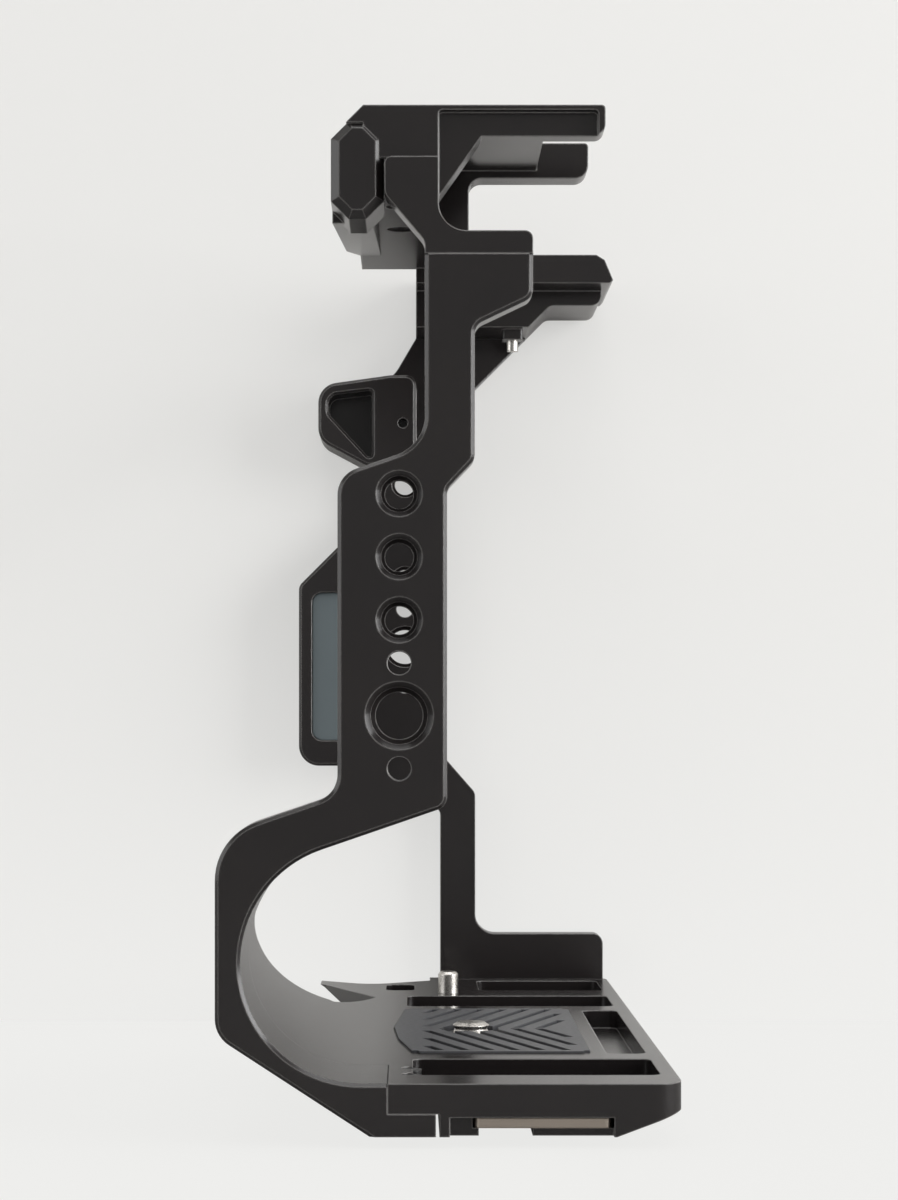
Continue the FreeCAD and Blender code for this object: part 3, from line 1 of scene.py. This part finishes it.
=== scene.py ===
import bpy
import bmesh
import math
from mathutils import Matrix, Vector


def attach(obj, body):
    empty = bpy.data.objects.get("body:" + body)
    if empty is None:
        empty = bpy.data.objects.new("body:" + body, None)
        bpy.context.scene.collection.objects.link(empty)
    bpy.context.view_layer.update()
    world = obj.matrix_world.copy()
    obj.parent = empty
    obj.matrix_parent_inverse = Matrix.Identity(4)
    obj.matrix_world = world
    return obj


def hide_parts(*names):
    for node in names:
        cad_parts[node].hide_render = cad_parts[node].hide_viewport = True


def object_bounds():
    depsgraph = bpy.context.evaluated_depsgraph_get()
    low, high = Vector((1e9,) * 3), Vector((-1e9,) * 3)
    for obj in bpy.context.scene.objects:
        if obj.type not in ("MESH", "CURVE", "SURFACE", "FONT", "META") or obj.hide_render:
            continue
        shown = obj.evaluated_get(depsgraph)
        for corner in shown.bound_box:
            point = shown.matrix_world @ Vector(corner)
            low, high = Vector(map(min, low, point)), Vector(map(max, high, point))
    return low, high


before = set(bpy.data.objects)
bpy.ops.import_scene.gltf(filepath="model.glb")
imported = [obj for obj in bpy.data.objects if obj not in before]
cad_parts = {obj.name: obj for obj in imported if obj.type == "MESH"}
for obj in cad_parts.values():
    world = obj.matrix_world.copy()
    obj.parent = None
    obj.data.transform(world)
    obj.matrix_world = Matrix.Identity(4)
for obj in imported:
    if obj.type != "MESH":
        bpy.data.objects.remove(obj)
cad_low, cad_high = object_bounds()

# Camera
# The photograph looks along the cage from the side that has the hook, level and square to the
# near wall. The near wall is 370 mm from the camera, and the camera sees the far wall smaller.

NEAR_FACE = cad_high.x
EYE_DISTANCE = 0.370
EYE_ALONG_Y = -0.0055
EYE_HEIGHT = 0.0621
LENS_MM = 77.1
LONG_SIDE_PX = 1200
CENTRE_SHIFT_PX = (38, 115)

camera_data = bpy.data.cameras.new("photo_camera")
camera_data.lens = LENS_MM
camera_data.sensor_width = 36.0
camera_data.shift_x = CENTRE_SHIFT_PX[0] / LONG_SIDE_PX
camera_data.shift_y = CENTRE_SHIFT_PX[1] / LONG_SIDE_PX
camera_data.clip_start = 0.01
camera_data.clip_end = 20.0
camera = bpy.data.objects.new("photo_camera", camera_data)
camera.location = (NEAR_FACE + EYE_DISTANCE, EYE_ALONG_Y, EYE_HEIGHT)
camera.rotation_euler = (math.radians(90), 0, math.radians(90))
bpy.context.scene.collection.objects.link(camera)
bpy.context.scene.camera = camera

# Studio
# A floor under the cage, and a table face behind its far wall, which shows from the front only.
# The camera sees both pale. Large soft lamps stand to the sides, for the sloped edges to reflect.

BACKGROUND = (0.88, 0.88, 0.865, 1.0)
FLOOR_COLOUR, FLOOR_LIGHT = (0.34, 0.335, 0.33, 1.0), 1.065
TABLE_COLOUR, TABLE_LIGHT = (0.86, 0.85, 0.83, 1.0), 1.0
FLOOR_SIZE, FLOOR_DROP = 6.0, 0.0004
TABLE_SIZE, TABLE_GAP = 2.4, 0.0015
GLOW_LOW, GLOW_HIGH = 0.85, 0.55
GLOW_RISE = 0.09
WORLD_LEVEL = 0.36


def stage_material(name, colour, light, one_sided):
    """Matt card that the camera sees mostly in the background's colour, most of all low down."""
    material = bpy.data.materials.new(name)
    material.use_nodes = True
    nodes, links = material.node_tree.nodes, material.node_tree.links
    card = nodes["Principled BSDF"]
    card.inputs["Base Color"].default_value = colour
    card.inputs["Roughness"].default_value = 0.9
    card.inputs["Specular IOR Level"].default_value = 0.1
    plain = nodes.new("ShaderNodeEmission")
    plain.inputs["Color"].default_value = BACKGROUND
    plain.inputs["Strength"].default_value = light
    path = nodes.new("ShaderNodeLightPath")
    place = nodes.new("ShaderNodeNewGeometry")
    height = nodes.new("ShaderNodeSeparateXYZ")
    links.new(place.outputs["Position"], height.inputs["Vector"])
    glow = nodes.new("ShaderNodeMapRange")
    glow.inputs["From Min"].default_value = cad_low.z
    glow.inputs["From Max"].default_value = cad_low.z + GLOW_RISE
    glow.inputs["To Min"].default_value = GLOW_LOW
    glow.inputs["To Max"].default_value = GLOW_HIGH
    links.new(height.outputs["Z"], glow.inputs["Value"])
    amount = nodes.new("ShaderNodeMath")
    amount.operation = "MULTIPLY"
    links.new(path.outputs["Is Camera Ray"], amount.inputs[0])
    links.new(glow.outputs["Result"], amount.inputs[1])
    blend = nodes.new("ShaderNodeMixShader")
    links.new(amount.outputs["Value"], blend.inputs["Fac"])
    links.new(card.outputs["BSDF"], blend.inputs[1])
    links.new(plain.outputs["Emission"], blend.inputs[2])
    surface = blend
    if one_sided:
        back = nodes.new("ShaderNodeNewGeometry")
        clear = nodes.new("ShaderNodeBsdfTransparent")
        surface = nodes.new("ShaderNodeMixShader")
        links.new(back.outputs["Backfacing"], surface.inputs["Fac"])
        links.new(blend.outputs["Shader"], surface.inputs[1])
        links.new(clear.outputs["BSDF"], surface.inputs[2])
    links.new(surface.outputs["Shader"], nodes["Material Output"].inputs["Surface"])
    return material


def stage_card(name, size, location, rotation, colour, light, one_sided):
    """A flat square card of the studio."""
    bpy.ops.mesh.primitive_plane_add(size=size, location=location, rotation=rotation)
    card = bpy.context.object
    card.name = name
    card.data.materials.append(stage_material(name, colour, light, one_sided))


stage_card("studio_floor", FLOOR_SIZE, (0, 0, cad_low.z - FLOOR_DROP), (0, 0, 0),
           FLOOR_COLOUR, FLOOR_LIGHT, False)
stage_card("table_face", TABLE_SIZE, (cad_low.x - TABLE_GAP, 0, cad_low.z + TABLE_SIZE / 2),
           (0, math.radians(90), 0), TABLE_COLOUR, TABLE_LIGHT, True)

world = bpy.data.worlds.new("soft_room")
bpy.context.scene.world = world
world.use_nodes = True
world.node_tree.nodes["Background"].inputs["Color"].default_value = (1.0, 0.99, 0.97, 1.0)
world.node_tree.nodes["Background"].inputs["Strength"].default_value = WORLD_LEVEL


LAMP_TARGET = (0, 0, 0.07)


def soft_lamp(name, power, size, place):
    """Square lamp that faces the middle of the cage."""
    data = bpy.data.lights.new(name, "AREA")
    data.energy = power
    data.size = size
    lamp = bpy.data.objects.new(name, data)
    lamp.location = place
    aim = Vector(LAMP_TARGET) - Vector(place)
    lamp.rotation_euler = aim.to_track_quat("-Z", "Y").to_euler()
    bpy.context.scene.collection.objects.link(lamp)


soft_lamp("window_side", 16.0, 0.9, (0.45, 1.1, 0.35))
soft_lamp("fill_side", 4.0, 0.9, (0.35, -1.1, 0.3))
soft_lamp("overhead", 7.0, 1.0, (0.2, 0.1, 1.2))

bpy.context.scene.view_settings.view_transform = "Standard"

# Machined frame
# Four aluminium pieces: base, two side walls and top plate. They are milled from solid, bead
# blasted and anodised black, so the faces are fine-grained and every edge is lightly broken.
# A painted highlight lightens the colour along every edge.

BLACK_METAL = (0.0095, 0.008, 0.0085, 1.0)
BLACK_METAL_WARM = (0.017, 0.014, 0.0135, 1.0)
# Colour of the painted highlight along the black metal's edges.
PAINTED_EDGE_HIGHLIGHT = (0.34, 0.33, 0.32, 1.0)
EDGE_ROUND = 0.00034


def grain_group():
    """Node group: fine speckle of a blasted or moulded surface, and its broad patches."""
    group = bpy.data.node_groups.new("surface_grain", "ShaderNodeTree")
    group.interface.new_socket("Size", in_out="INPUT", socket_type="NodeSocketFloat")
    group.interface.new_socket("Mask", in_out="OUTPUT", socket_type="NodeSocketFloat")
    group.interface.new_socket("Patches", in_out="OUTPUT", socket_type="NodeSocketFloat")
    nodes, links = group.nodes, group.links
    entry = nodes.new("NodeGroupInput")
    leave = nodes.new("NodeGroupOutput")
    place = nodes.new("ShaderNodeTexCoord")
    fine = nodes.new("ShaderNodeTexNoise")
    fine.inputs["Detail"].default_value = 3.0
    broad = nodes.new("ShaderNodeTexNoise")
    broad.inputs["Scale"].default_value = 55.0
    broad.inputs["Detail"].default_value = 2.0
    links.new(place.outputs["Object"], fine.inputs["Vector"])
    links.new(place.outputs["Object"], broad.inputs["Vector"])
    links.new(entry.outputs["Size"], fine.inputs["Scale"])
    links.new(fine.outputs["Fac"], leave.inputs["Mask"])
    links.new(broad.outputs["Fac"], leave.inputs["Patches"])
    return group


SURFACE_GRAIN = grain_group()


def grained_material(name, dark, light, metallic, rough, rough_spread, grain_size, bump, edge,
                     edge_highlight_colour=None):
    """Surface with fine grain in its colour, gloss and height, softly broken edges, and, if a highlight
    colour is given, a painted highlight that lightens the edges.
    """
    material = bpy.data.materials.new(name)
    material.use_nodes = True
    nodes, links = material.node_tree.nodes, material.node_tree.links
    surface = nodes["Principled BSDF"]
    surface.inputs["Metallic"].default_value = metallic
    grain = nodes.new("ShaderNodeGroup")
    grain.node_tree = SURFACE_GRAIN
    grain.inputs["Size"].default_value = grain_size
    colour = nodes.new("ShaderNodeMix")
    colour.data_type = "RGBA"
    colour.inputs["A"].default_value = dark
    colour.inputs["B"].default_value = light
    links.new(grain.outputs["Patches"], colour.inputs["Factor"])
    shade = colour.outputs["Result"]
    gloss = nodes.new("ShaderNodeMapRange")
    gloss.inputs["To Min"].default_value = rough - rough_spread
    gloss.inputs["To Max"].default_value = rough + rough_spread
    links.new(grain.outputs["Mask"], gloss.inputs["Value"])
    links.new(gloss.outputs["Result"], surface.inputs["Roughness"])
    height = nodes.new("ShaderNodeBump")
    height.inputs["Distance"].default_value = bump
    height.inputs["Strength"].default_value = 0.6
    links.new(grain.outputs["Mask"], height.inputs["Height"])
    corner = nodes.new("ShaderNodeBevel")
    corner.samples = 4
    corner.inputs["Radius"].default_value = edge
    links.new(corner.outputs["Normal"], height.inputs["Normal"])
    # Painted highlight: where the rounded shading normal bends away from the flat face, the colour is
    # mixed toward a lighter one.
    if edge_highlight_colour:
        flat = nodes.new("ShaderNodeNewGeometry")
        bend = nodes.new("ShaderNodeVectorMath")
        bend.operation = "DOT_PRODUCT"
        links.new(corner.outputs["Normal"], bend.inputs[0])
        links.new(flat.outputs["Normal"], bend.inputs[1])
        highlight_mask = nodes.new("ShaderNodeMapRange")
        highlight_mask.inputs["From Min"].default_value = 0.99
        highlight_mask.inputs["From Max"].default_value = 0.80
        links.new(bend.outputs["Value"], highlight_mask.inputs["Value"])
        highlighted_edges = nodes.new("ShaderNodeMix")
        highlighted_edges.data_type = "RGBA"
        highlighted_edges.inputs["B"].default_value = edge_highlight_colour
        links.new(highlight_mask.outputs["Result"], highlighted_edges.inputs["Factor"])
        links.new(shade, highlighted_edges.inputs["A"])
        shade = highlighted_edges.outputs["Result"]
    links.new(shade, surface.inputs["Base Color"])
    links.new(height.outputs["Normal"], surface.inputs["Normal"])
    return material


def dress_node(node, material):
    """Give a CAD node its material in every slot."""
    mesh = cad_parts[node].data
    mesh.materials.clear()
    mesh.materials.append(material)


black_metal = grained_material("black_anodised_metal", BLACK_METAL, BLACK_METAL_WARM, 0.0,
                               0.22, 0.05, 5200.0, 0.000003, EDGE_ROUND, PAINTED_EDGE_HIGHLIGHT)
black_metal.node_tree.nodes["Principled BSDF"].inputs["Specular IOR Level"].default_value = 0.6
for metal_node in ("base_plate", "left_side_frame", "right_side_frame", "top_plate"):
    dress_node(metal_node, black_metal)

# Bright hardware
# Camera screw, its washer, the locating pin, the strap clamp screw and the magnets are bare
# steel, turned or ground. The flat wrench is bronzed steel.

bright_steel = grained_material("bright_steel", (0.62, 0.60, 0.57, 1.0), (0.74, 0.72, 0.68, 1.0),
                                1.0, 0.28, 0.08, 2600.0, 0.000006, EDGE_ROUND)
for steel_node in ("camera_screw", "screw_washer", "locating_pin", "strap_clamp_screw",
                   "wrench_magnets"):
    dress_node(steel_node, bright_steel)
warm_steel = grained_material("bronzed_steel", (0.46, 0.40, 0.34, 1.0), (0.60, 0.53, 0.46, 1.0),
                              1.0, 0.34, 0.08, 1800.0, 0.000006, EDGE_ROUND)
dress_node("flat_wrench", warm_steel)
black_steel = grained_material("black_oxide_steel", (0.02, 0.02, 0.02, 1.0), (0.04, 0.04, 0.04, 1.0),
                               0.3, 0.3, 0.06, 2600.0, 0.000006, EDGE_ROUND)
for joint_screws in ("left_base_screws", "right_base_screws", "right_top_screws", "left_top_screws"):
    dress_node(joint_screws, black_steel)

# Soft inlay
# A slate-grey silicone pad glued in the pocket of the far wall's wing.

silicone = grained_material("slate_silicone", (0.105, 0.13, 0.14, 1.0), (0.13, 0.16, 0.17, 1.0),
                            0.0, 0.62, 0.05, 1500.0, 0.00001, 0.0003)
dress_node("side_inlay", silicone)

# Rubber pad
# Moulded rubber sheet in the base's bed. Its grooves meet in a herringbone on the screw's line,
# inside a flat border, and a round-ended slot leaves room for the camera screw.

MM = 0.001
PAD_NEAR, PAD_FAR = 41.4, -17.4
PAD_FRONT, PAD_BACK = -5.2, 22.7
PAD_OUTLINE = ((PAD_NEAR, PAD_FRONT), (PAD_NEAR, PAD_BACK), (PAD_FAR, PAD_BACK), (PAD_FAR, -6.5),
               (9.4, -8.3), (25.4, -7.5))
PAD_FOOT, PAD_TOP = 8.0, 9.3
PAD_ROUNDING = 1.0
PAD_BORDER = 1.5
SCREW_X, SCREW_Y = 11.6, 4.6
GROOVE_PITCH = 4.0
GROOVE_LEAN = 0.40
GROOVE_WIDTH = 1.5
GROOVE_DEPTH = 1.1
GROOVE_MEETING = 0.5
CUT_MARGIN = 1
SLOT_HALF_WIDE, SLOT_HALF_LONG = 4.0, 4.7
SLOT_STEPS = 32


def new_piece(name, mesh_source, body, material):
    """Make a piece from a bmesh, with its body, material slot and material."""
    mesh = bpy.data.meshes.new(name)
    mesh_source.to_mesh(mesh)
    mesh_source.free()
    piece = bpy.data.objects.new(name, mesh)
    bpy.context.scene.collection.objects.link(piece)
    mesh.materials.append(material)
    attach(piece, body)
    return piece


def add_prism(target, corners, low, high, rounding=0.0):
    """Add an upright prism, in millimetres, with its upright edges rounded if asked."""
    floor = [target.verts.new((x * MM, y * MM, low * MM)) for x, y in corners]
    face = target.faces.new(floor)
    if rounding:
        made = bmesh.ops.bevel(target, geom=floor, offset=rounding * MM, segments=4, affect="VERTICES")
        face = max(made["faces"] + [f for f in target.faces if f.is_valid], key=lambda f: f.calc_area())
    lifted = bmesh.ops.extrude_face_region(target, geom=[face])
    top = [v for v in lifted["geom"] if isinstance(v, bmesh.types.BMVert)]
    bmesh.ops.translate(target, vec=(0, 0, (high - low) * MM), verts=top)
    bmesh.ops.recalc_face_normals(target, faces=target.faces)


def cut_away(piece, cutter):
    """Take one object's space out of another and remove the cutter."""
    cut = piece.modifiers.new("cut", "BOOLEAN")
    cut.operation = "DIFFERENCE"
    cut.solver = "EXACT"
    cut.object = cutter
    bpy.context.view_layer.objects.active = piece
    bpy.ops.object.modifier_apply(modifier=cut.name)
    bpy.data.objects.remove(cutter)


def cutter_object(source):
    """Bare object that only serves as a cutter."""
    mesh = bpy.data.meshes.new("cutter")
    source.to_mesh(mesh)
    source.free()
    cutter = bpy.data.objects.new("cutter", mesh)
    bpy.context.scene.collection.objects.link(cutter)
    return cutter


rubber = grained_material("ribbed_rubber", (0.055, 0.056, 0.062, 1.0),
                          (0.085, 0.087, 0.093, 1.0), 0.0, 0.45, 0.06, 1400.0, 0.00002, 0.0002)
sheet = bmesh.new()
add_prism(sheet, PAD_OUTLINE, PAD_FOOT, PAD_TOP, PAD_ROUNDING)
pad = new_piece("ribbed_camera_pad", sheet, "cage", rubber)

grooves = bmesh.new()
x_low, x_high = PAD_FAR + PAD_BORDER, PAD_NEAR - PAD_BORDER
y_low, y_high = PAD_FRONT + PAD_BORDER, PAD_BACK - PAD_BORDER
for half_start, half_end in ((SCREW_X + GROOVE_MEETING, x_high),
                             (SCREW_X - GROOVE_MEETING, x_low)):
    run = abs(half_end - half_start)
    count = int((y_high - y_low + run * GROOVE_LEAN) / GROOVE_PITCH) + 1
    for number in range(count):
        start = y_low - run * GROOVE_LEAN + GROOVE_PITCH * (number + 0.5)
        begin = max(0.0, (y_low - start) / GROOVE_LEAN)
        finish = min(run, (y_high - GROOVE_WIDTH - start) / GROOVE_LEAN)
        if finish - begin < GROOVE_PITCH / 2:
            continue
        toward = 1 if half_end > half_start else -1
        ends = [(half_start + toward * reach, start + reach * GROOVE_LEAN)
                for reach in (begin, finish)]
        corners = [
            ends[0],
            ends[1],
            (ends[1][0], ends[1][1] + GROOVE_WIDTH),
            (ends[0][0], ends[0][1] + GROOVE_WIDTH),
        ]
        add_prism(grooves, corners, PAD_TOP - GROOVE_DEPTH, PAD_TOP + CUT_MARGIN)
cut_away(pad, cutter_object(grooves))
slot_tool = bmesh.new()
slot_corners = []
for step in range(SLOT_STEPS):
    angle = 2 * math.pi * step / SLOT_STEPS
    side = math.copysign(SLOT_HALF_LONG - SLOT_HALF_WIDE, math.sin(angle))
    slot_corners.append((SCREW_X + SLOT_HALF_WIDE * math.cos(angle),
                         SCREW_Y + SLOT_HALF_WIDE * math.sin(angle) + side))
add_prism(slot_tool, slot_corners, PAD_FOOT - CUT_MARGIN, PAD_TOP + CUT_MARGIN)
cut_away(pad, cutter_object(slot_tool))
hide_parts("camera_pad")

# Threads
# Ridges inside the threaded holes, cut into the metal of both side walls and the top plate. Each
# is an open ring profile, with a ridge for 1.27 mm of a 1/4 inch hole and 1.59 mm of a 3/8 inch.

RING_SEGMENTS = 48
BORE_CLEARANCE = 0.01
RIDGE_SHARE = 0.42


def add_turned(target, profile, centre, axis):
    """Turn a profile of (along, radius) pairs in millimetres about an axis through a centre."""
    rings = []
    for along, radius in profile:
        ring = []
        for step in range(RING_SEGMENTS):
            angle = 2 * math.pi * step / RING_SEGMENTS
            across, up = radius * math.cos(angle), radius * math.sin(angle)
            offset = {"x": (along, across, up), "z": (across, up, along)}[axis]
            ring.append(target.verts.new([(c + o) * MM for c, o in zip(centre, offset)]))
        rings.append(ring)
    for ring, following in zip(rings, rings[1:]):
        for step in range(RING_SEGMENTS):
            after = (step + 1) % RING_SEGMENTS
            target.faces.new((ring[step], ring[after], following[after], following[step]))
    return rings


def add_inner_thread(target, centre, axis, bore, depth, pitch):
    """Ridges of a threaded hole, an open sleeve just inside the wall of the plain bore."""
    radius = bore / 2 - BORE_CLEARANCE
    ridge = pitch * RIDGE_SHARE
    turns = int(depth / pitch)
    first = -turns * pitch / 2
    profile = [(first, radius)]
    for turn in range(turns):
        profile.append((first + (turn + 0.5) * pitch, radius - ridge))
        profile.append((first + (turn + 1) * pitch, radius))
    add_turned(target, profile, centre, axis)


def thread_piece(name, holes):
    """One piece with the ridges of several holes, each (centre, axis, bore, depth, pitch)."""
    source = bmesh.new()
    for hole in holes:
        add_inner_thread(source, *hole)
    bmesh.ops.recalc_face_normals(source, faces=source.faces)
    for face in source.faces:
        face.normal_flip()
    return new_piece(name, source, "cage", black_metal)


QUARTER, THREE_EIGHTH = (5.2, 1.27), (8.2, 1.59)
thread_piece("left_side_threads", [((72.4, -7.2, z), "x", QUARTER[0], 3.7, QUARTER[1])
                                   for z in (75.8, 84.9, 94.0)]
             + [((72.3, -7.2, 62.0), "x", THREE_EIGHTH[0], 3.6, THREE_EIGHTH[1])])
thread_piece("right_side_threads", [((-73.0, -6.7, z), "x", QUARTER[0], 4.0, QUARTER[1])
                                    for z in (89.3, 99.8, 108.4)]
             + [((-73.0, -6.7, 75.8), "x", THREE_EIGHTH[0], 4.0, THREE_EIGHTH[1])])
thread_piece("top_threads", [((x, -7.2, 148.95), "z", QUARTER[0], 2.5, QUARTER[1])
                             for x in (31.6, 11.6, -8.4)])

# Camera screw
# Captive 1/4 inch screw, turned in one piece: chamfered tip, thread, thin neck, and a wide head
# below with a slot for a coin.

AXIS_RADIUS = 0.05
SCREW_TIP, FIRST_RIDGE, LAST_RIDGE = 10.4, 9.9, 6.3
SCREW_PITCH = QUARTER[1]
RIDGE_RADIUS, ROOT_RADIUS, NECK_RADIUS = 3.1, 2.75, 2.35
HEAD_RADIUS, HEAD_TOP, HEAD_FOOT = 6.0, 2.1, 0.1
SLOT_HALF_GAP, SLOT_REACH, SLOT_TOP = 0.7, 7, 1.1

screw_profile = [(SCREW_TIP, AXIS_RADIUS), (SCREW_TIP, 2.3)]
ridge_top = FIRST_RIDGE
while ridge_top > LAST_RIDGE:
    screw_profile += [(ridge_top, RIDGE_RADIUS), (ridge_top - SCREW_PITCH / 2, ROOT_RADIUS)]
    ridge_top -= SCREW_PITCH
screw_profile += [(5.85, 3.0), (5.8, NECK_RADIUS), (HEAD_TOP, NECK_RADIUS), (HEAD_TOP, 5.85),
                  (1.95, HEAD_RADIUS), (0.3, HEAD_RADIUS), (HEAD_FOOT, 5.8),
                  (HEAD_FOOT, AXIS_RADIUS)]
turned = bmesh.new()
rings = add_turned(turned, screw_profile, (SCREW_X, SCREW_Y, 0.0), "z")
turned.faces.new(rings[0])
turned.faces.new(list(reversed(rings[-1])))
bmesh.ops.recalc_face_normals(turned, faces=turned.faces)
screw = new_piece("threaded_camera_screw", turned, "screw", bright_steel)
coin_slot = bmesh.new()
add_prism(coin_slot, ((SCREW_X - SLOT_REACH, SCREW_Y - SLOT_HALF_GAP),
                      (SCREW_X + SLOT_REACH, SCREW_Y - SLOT_HALF_GAP),
                      (SCREW_X + SLOT_REACH, SCREW_Y + SLOT_HALF_GAP),
                      (SCREW_X - SLOT_REACH, SCREW_Y + SLOT_HALF_GAP)), -0.5, SLOT_TOP)
cut_away(screw, cutter_object(coin_slot))
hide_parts("camera_screw")

# Button heads under the base
# Two domed black steel screws through the tongue, each with a round socket, flush with the plane
# that the cage stands on. Turned, blackened and screwed up into the base.

BUTTON_PLACES = (64.7, 58.2)
BUTTON_ACROSS = -5.4
BUTTON_SOCKET = [(0.9, AXIS_RADIUS), (0.9, 0.9), (0.0, 0.9)]
BUTTON_DOME = [(0.0, 1.15), (0.2, 1.7), (0.7, 2.4), (1.25, 2.72), (1.65, 2.75)]
BUTTON_SHANK = [(1.65, 1.5), (8.8, 1.5)]

buttons = bmesh.new()
for place in BUTTON_PLACES:
    rings = add_turned(buttons, BUTTON_SOCKET + BUTTON_DOME + BUTTON_SHANK,
                       (place, BUTTON_ACROSS, 0.0), "z")
    buttons.faces.new(list(reversed(rings[0])))
    buttons.faces.new(rings[-1])
bmesh.ops.recalc_face_normals(buttons, faces=buttons.faces)
button_screws = new_piece("button_head_screws", buttons, "cage", black_steel)
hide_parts("left_base_screws")

# Seams
# Thin dark lines where the machined pieces meet. Each crosses the joint and ends half a micron
# inside the cage's end face.

seam_dark = grained_material("seam_shadow", (0.002, 0.002, 0.002, 1.0), (0.004, 0.004, 0.004, 1.0),
                             0.0, 0.8, 0.05, 2600.0, 0.000002, 0.00005)
SEAM_LINES = (
    ("left_top_seam", (70.49, -3.51, 128.48), (74.9995, 12.11, 128.72)),
    ("right_top_seam", (-74.9995, -4.51, 137.6), (-70.99, 17.41, 137.8)),
    ("hook_base_seam", (55.0, -9.0, 1.29), (74.9995, -8.8, 9.006)),
)
for seam_name, low, high in SEAM_LINES:
    line = bmesh.new()
    corners = ((low[0], low[1]), (high[0], low[1]), (high[0], high[1]), (low[0], high[1]))
    add_prism(line, corners, low[2], high[2])
    new_piece(seam_name, line, "cage", seam_dark)
